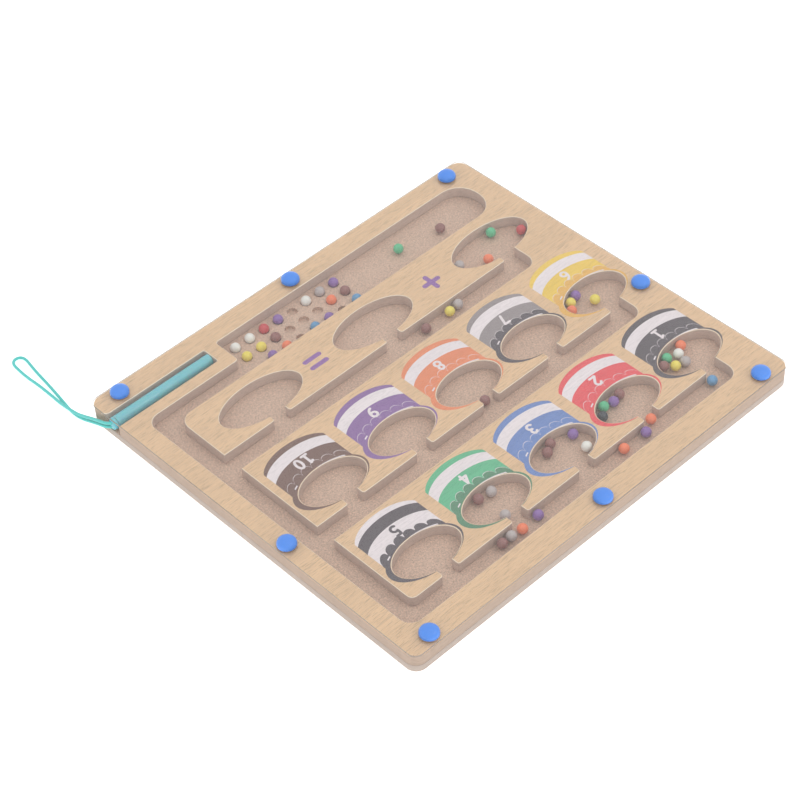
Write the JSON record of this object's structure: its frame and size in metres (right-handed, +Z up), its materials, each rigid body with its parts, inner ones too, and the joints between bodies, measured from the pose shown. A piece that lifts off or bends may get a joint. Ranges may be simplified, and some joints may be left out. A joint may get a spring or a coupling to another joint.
{
  "type": "magnetic maze board",
  "caption": "Wooden maze board under a clear screwed cover, with painted steel beads that a magnet pen draws through channels into numbered pockets.",
  "frame": {"origin": "middle of the board's flat underside", "axes": "+X along the board in reading direction, towards the pen slot's mouth, +Y towards the back edge, away from the reader, +Z up through the clear cover"},
  "size_m": [0.3068, 0.342, 0.0186],
  "materials": {
    "fibreboard": "bare fine fibreboard, matt",
    "birch_ply": "pale close-grained veneer, satin",
    "acrylic": "clear polished acrylic sheet",
    "blue_plastic": "moulded, semi-gloss",
    "pen_plastic": "moulded translucent plastic, semi-gloss",
    "magnet": "nickel-plated bar magnet",
    "cord": "woven polyester cord",
    "white_paint": "matt white paint",
    "red_paint": "matt red paint",
    "purple_paint": "matt purple paint",
    "gray_paint": "matt grey paint",
    "yellow_paint": "matt yellow paint",
    "brown_paint": "matt dark brown paint",
    "orange_paint": "matt orange paint",
    "blue_paint": "matt blue paint",
    "green_paint": "matt green paint",
    "black_paint": "matt black paint"
  },
  "bodies": {
    "board": {"base_board": "fibreboard", "maze_plate": "birch_ply", "clear_cover": "acrylic", "domed_screw_1": "blue_plastic", "domed_screw_2": "blue_plastic", "domed_screw_3": "blue_plastic", "domed_screw_4": "blue_plastic", "domed_screw_5": "blue_plastic", "domed_screw_6": "blue_plastic", "domed_screw_7": "blue_plastic", "domed_screw_8": "blue_plastic"},
    "pen": {"pen_barrel": "pen_plastic", "pen_magnet": "magnet", "pen_end_cap": "pen_plastic", "lanyard_cord": "cord"},
    "black_bead_1_body": {"black_bead_1": "black_paint"},
    "blue_bead_1_body": {"blue_bead_1": "blue_paint"},
    "brown_bead_1_body": {"brown_bead_1": "brown_paint"},
    "brown_bead_2_body": {"brown_bead_2": "brown_paint"},
    "brown_bead_3_body": {"brown_bead_3": "brown_paint"},
    "brown_bead_4_body": {"brown_bead_4": "brown_paint"},
    "brown_bead_5_body": {"brown_bead_5": "brown_paint"},
    "brown_bead_6_body": {"brown_bead_6": "brown_paint"},
    "brown_bead_7_body": {"brown_bead_7": "brown_paint"},
    "brown_bead_8_body": {"brown_bead_8": "brown_paint"},
    "brown_bead_9_body": {"brown_bead_9": "brown_paint"},
    "gray_bead_1_body": {"gray_bead_1": "gray_paint"},
    "gray_bead_2_body": {"gray_bead_2": "gray_paint"},
    "gray_bead_3_body": {"gray_bead_3": "gray_paint"},
    "gray_bead_4_body": {"gray_bead_4": "gray_paint"},
    "gray_bead_5_body": {"gray_bead_5": "gray_paint"},
    "gray_bead_6_body": {"gray_bead_6": "gray_paint"},
    "green_bead_1_body": {"green_bead_1": "green_paint"},
    "green_bead_2_body": {"green_bead_2": "green_paint"},
    "green_bead_3_body": {"green_bead_3": "green_paint"},
    "green_bead_4_body": {"green_bead_4": "green_paint"},
    "orange_bead_1_body": {"orange_bead_1": "orange_paint"},
    "orange_bead_2_body": {"orange_bead_2": "orange_paint"},
    "orange_bead_3_body": {"orange_bead_3": "orange_paint"},
    "orange_bead_4_body": {"orange_bead_4": "orange_paint"},
    "orange_bead_5_body": {"orange_bead_5": "orange_paint"},
    "orange_bead_6_body": {"orange_bead_6": "orange_paint"},
    "purple_bead_1_body": {"purple_bead_1": "purple_paint"},
    "purple_bead_2_body": {"purple_bead_2": "purple_paint"},
    "purple_bead_3_body": {"purple_bead_3": "purple_paint"},
    "purple_bead_4_body": {"purple_bead_4": "purple_paint"},
    "purple_bead_5_body": {"purple_bead_5": "purple_paint"},
    "red_bead_1_body": {"red_bead_1": "red_paint"},
    "white_bead_1_body": {"white_bead_1": "white_paint"},
    "white_bead_2_body": {"white_bead_2": "white_paint"},
    "yellow_bead_1_body": {"yellow_bead_1": "yellow_paint"},
    "yellow_bead_2_body": {"yellow_bead_2": "yellow_paint"},
    "yellow_bead_3_body": {"yellow_bead_3": "yellow_paint"},
    "yellow_bead_4_body": {"yellow_bead_4": "yellow_paint"},
    "parked_purple_bead_1_body": {"parked_purple_bead_1": "purple_paint"},
    "parked_gray_bead_2_body": {"parked_gray_bead_2": "gray_paint"},
    "parked_white_bead_3_body": {"parked_white_bead_3": "white_paint"},
    "parked_purple_bead_5_body": {"parked_purple_bead_5": "purple_paint"},
    "parked_red_bead_6_body": {"parked_red_bead_6": "red_paint"},
    "parked_white_bead_7_body": {"parked_white_bead_7": "white_paint"}
  },
  "joints": [
    {"name": "pen_slide", "type": "slide", "parent": "board", "child": "pen", "axis": [1, 0, 0], "range_m": [0, 0.08]},
    {"name": "black_bead_1_roll", "type": "slide", "parent": "board", "child": "black_bead_1_body", "axis": [-0.9397, 0.342, 0], "range_m": [0, 0.0229]},
    {"name": "blue_bead_1_roll", "type": "slide", "parent": "board", "child": "blue_bead_1_body", "axis": [1, 0, 0], "range_m": [-0.009, 0.0423]},
    {"name": "brown_bead_1_roll", "type": "slide", "parent": "board", "child": "brown_bead_1_body", "axis": [1, 0, 0], "range_m": [0, 0.0738]},
    {"name": "brown_bead_2_roll", "type": "slide", "parent": "board", "child": "brown_bead_2_body", "axis": [0.5, 0.866, 0], "range_m": [0, 0.0065]},
    {"name": "brown_bead_3_roll", "type": "slide", "parent": "board", "child": "brown_bead_3_body", "axis": [-0.4226, 0.9063, 0], "range_m": [-0.0017, 0.0188]},
    {"name": "brown_bead_4_roll", "type": "slide", "parent": "board", "child": "brown_bead_4_body", "axis": [-0.342, 0.9397, 0], "range_m": [0, 0.0172]},
    {"name": "brown_bead_5_roll", "type": "slide", "parent": "board", "child": "brown_bead_5_body", "axis": [-0.2588, 0.9659, 0], "range_m": [-0.001, 0.0357]},
    {"name": "brown_bead_6_roll", "type": "slide", "parent": "board", "child": "brown_bead_6_body", "axis": [-0.5736, 0.8192, 0], "range_m": [0, 0.0226]},
    {"name": "brown_bead_7_roll", "type": "slide", "parent": "board", "child": "brown_bead_7_body", "axis": [0, 1, 0], "range_m": [-0.0239, 0.0148]},
    {"name": "brown_bead_8_roll", "type": "slide", "parent": "board", "child": "brown_bead_8_body", "axis": [1, 0, 0], "range_m": [-0.0133, 0.163]},
    {"name": "brown_bead_9_roll", "type": "slide", "parent": "board", "child": "brown_bead_9_body", "axis": [1, 0, 0], "range_m": [-0.0325, 0.0265]},
    {"name": "gray_bead_1_roll", "type": "slide", "parent": "board", "child": "gray_bead_1_body", "axis": [0, 1, 0], "range_m": [0, 0.0055]},
    {"name": "gray_bead_2_roll", "type": "slide", "parent": "board", "child": "gray_bead_2_body", "axis": [-0.2588, 0.9659, 0], "range_m": [0, 0.0261]},
    {"name": "gray_bead_3_roll", "type": "slide", "parent": "board", "child": "gray_bead_3_body", "axis": [-0.5, 0.866, 0], "range_m": [-0.0197, 0.0074]},
    {"name": "gray_bead_4_roll", "type": "slide", "parent": "board", "child": "gray_bead_4_body", "axis": [0.766, 0.6428, 0], "range_m": [-0.0021, 0.0238]},
    {"name": "gray_bead_5_roll", "type": "slide", "parent": "board", "child": "gray_bead_5_body", "axis": [1, 0, 0], "range_m": [-0.0531, 0.0011]},
    {"name": "gray_bead_6_roll", "type": "slide", "parent": "board", "child": "gray_bead_6_body", "axis": [-1, 0, 0], "range_m": [0, 0.0442]},
    {"name": "green_bead_1_roll", "type": "slide", "parent": "board", "child": "green_bead_1_body", "axis": [-0.5, 0.866, 0], "range_m": [0, 0.0011]},
    {"name": "green_bead_2_roll", "type": "slide", "parent": "board", "child": "green_bead_2_body", "axis": [0, 1, 0], "range_m": [0, 0.0029]},
    {"name": "green_bead_3_roll", "type": "slide", "parent": "board", "child": "green_bead_3_body", "axis": [0.342, 0.9397, 0], "range_m": [-0.001, 0.0413]},
    {"name": "green_bead_4_roll", "type": "slide", "parent": "board", "child": "green_bead_4_body", "axis": [1, 0, 0], "range_m": [-0.0265, 0.0405]},
    {"name": "orange_bead_1_roll", "type": "slide", "parent": "board", "child": "orange_bead_1_body", "axis": [1, 0, 0], "range_m": [-0.0112, 0.0625]},
    {"name": "orange_bead_2_roll", "type": "slide", "parent": "board", "child": "orange_bead_2_body", "axis": [1, 0, 0], "range_m": [-0.0065, 0.0011]},
    {"name": "orange_bead_3_roll", "type": "slide", "parent": "board", "child": "orange_bead_3_body", "axis": [-0.5736, 0.8192, 0], "range_m": [0, 0.0196]},
    {"name": "orange_bead_4_roll", "type": "slide", "parent": "board", "child": "orange_bead_4_body", "axis": [-0.766, 0.6428, 0], "range_m": [0, 0.0284]},
    {"name": "orange_bead_5_roll", "type": "slide", "parent": "board", "child": "orange_bead_5_body", "axis": [0, 1, 0], "range_m": [-0.0193, 0.0103]},
    {"name": "orange_bead_6_roll", "type": "slide", "parent": "board", "child": "orange_bead_6_body", "axis": [0.9397, 0.342, 0], "range_m": [-0.0339, 0.006]},
    {"name": "purple_bead_1_roll", "type": "slide", "parent": "board", "child": "purple_bead_1_body", "axis": [1, 0, 0], "range_m": [-0.005, 0.0112]},
    {"name": "purple_bead_2_roll", "type": "slide", "parent": "board", "child": "purple_bead_2_body", "axis": [1, 0, 0], "range_m": [-0.0625, 0.0065]},
    {"name": "purple_bead_3_roll", "type": "slide", "parent": "board", "child": "purple_bead_3_body", "axis": [-0.342, 0.9397, 0], "range_m": [0, 0.0193]},
    {"name": "purple_bead_4_roll", "type": "slide", "parent": "board", "child": "purple_bead_4_body", "axis": [0.9397, 0.342, 0], "range_m": [0, 0.0327]},
    {"name": "purple_bead_5_roll", "type": "slide", "parent": "board", "child": "purple_bead_5_body", "axis": [-0.9063, 0.4226, 0], "range_m": [0, 0.0282]},
    {"name": "red_bead_1_roll", "type": "slide", "parent": "board", "child": "red_bead_1_body", "axis": [0.9848, -0.1736, 0], "range_m": [0, 0.0441]},
    {"name": "white_bead_1_roll", "type": "slide", "parent": "board", "child": "white_bead_1_body", "axis": [0.2588, -0.9659, 0], "range_m": [0, 0.0012]},
    {"name": "white_bead_2_roll", "type": "slide", "parent": "board", "child": "white_bead_2_body", "axis": [-0.9659, 0.2588, 0], "range_m": [-0.0325, 0.0017]},
    {"name": "yellow_bead_1_roll", "type": "slide", "parent": "board", "child": "yellow_bead_1_body", "axis": [0, 1, 0], "range_m": [0, 0.0089]},
    {"name": "yellow_bead_2_roll", "type": "slide", "parent": "board", "child": "yellow_bead_2_body", "axis": [0.9659, 0.2588, 0], "range_m": [-0.0199, 0.0152]},
    {"name": "yellow_bead_3_roll", "type": "slide", "parent": "board", "child": "yellow_bead_3_body", "axis": [-0.5736, 0.8192, 0], "range_m": [0, 0.0094]},
    {"name": "yellow_bead_4_roll", "type": "slide", "parent": "board", "child": "yellow_bead_4_body", "axis": [1, 0, 0], "range_m": [-0.0011, 0.0133]},
    {"name": "parked_purple_bead_1_lift", "type": "slide", "parent": "board", "child": "parked_purple_bead_1_body", "axis": [0, 0, 1], "range_m": [0, 0.003]},
    {"name": "parked_gray_bead_2_lift", "type": "slide", "parent": "board", "child": "parked_gray_bead_2_body", "axis": [0, 0, 1], "range_m": [0, 0.003]},
    {"name": "parked_white_bead_3_lift", "type": "slide", "parent": "board", "child": "parked_white_bead_3_body", "axis": [0, 0, 1], "range_m": [0, 0.003]},
    {"name": "parked_purple_bead_5_lift", "type": "slide", "parent": "board", "child": "parked_purple_bead_5_body", "axis": [0, 0, 1], "range_m": [0, 0.003]},
    {"name": "parked_red_bead_6_lift", "type": "slide", "parent": "board", "child": "parked_red_bead_6_body", "axis": [0, 0, 1], "range_m": [0, 0.003]},
    {"name": "parked_white_bead_7_lift", "type": "slide", "parent": "board", "child": "parked_white_bead_7_body", "axis": [0, 0, 1], "range_m": [0, 0.003]}
  ]
}
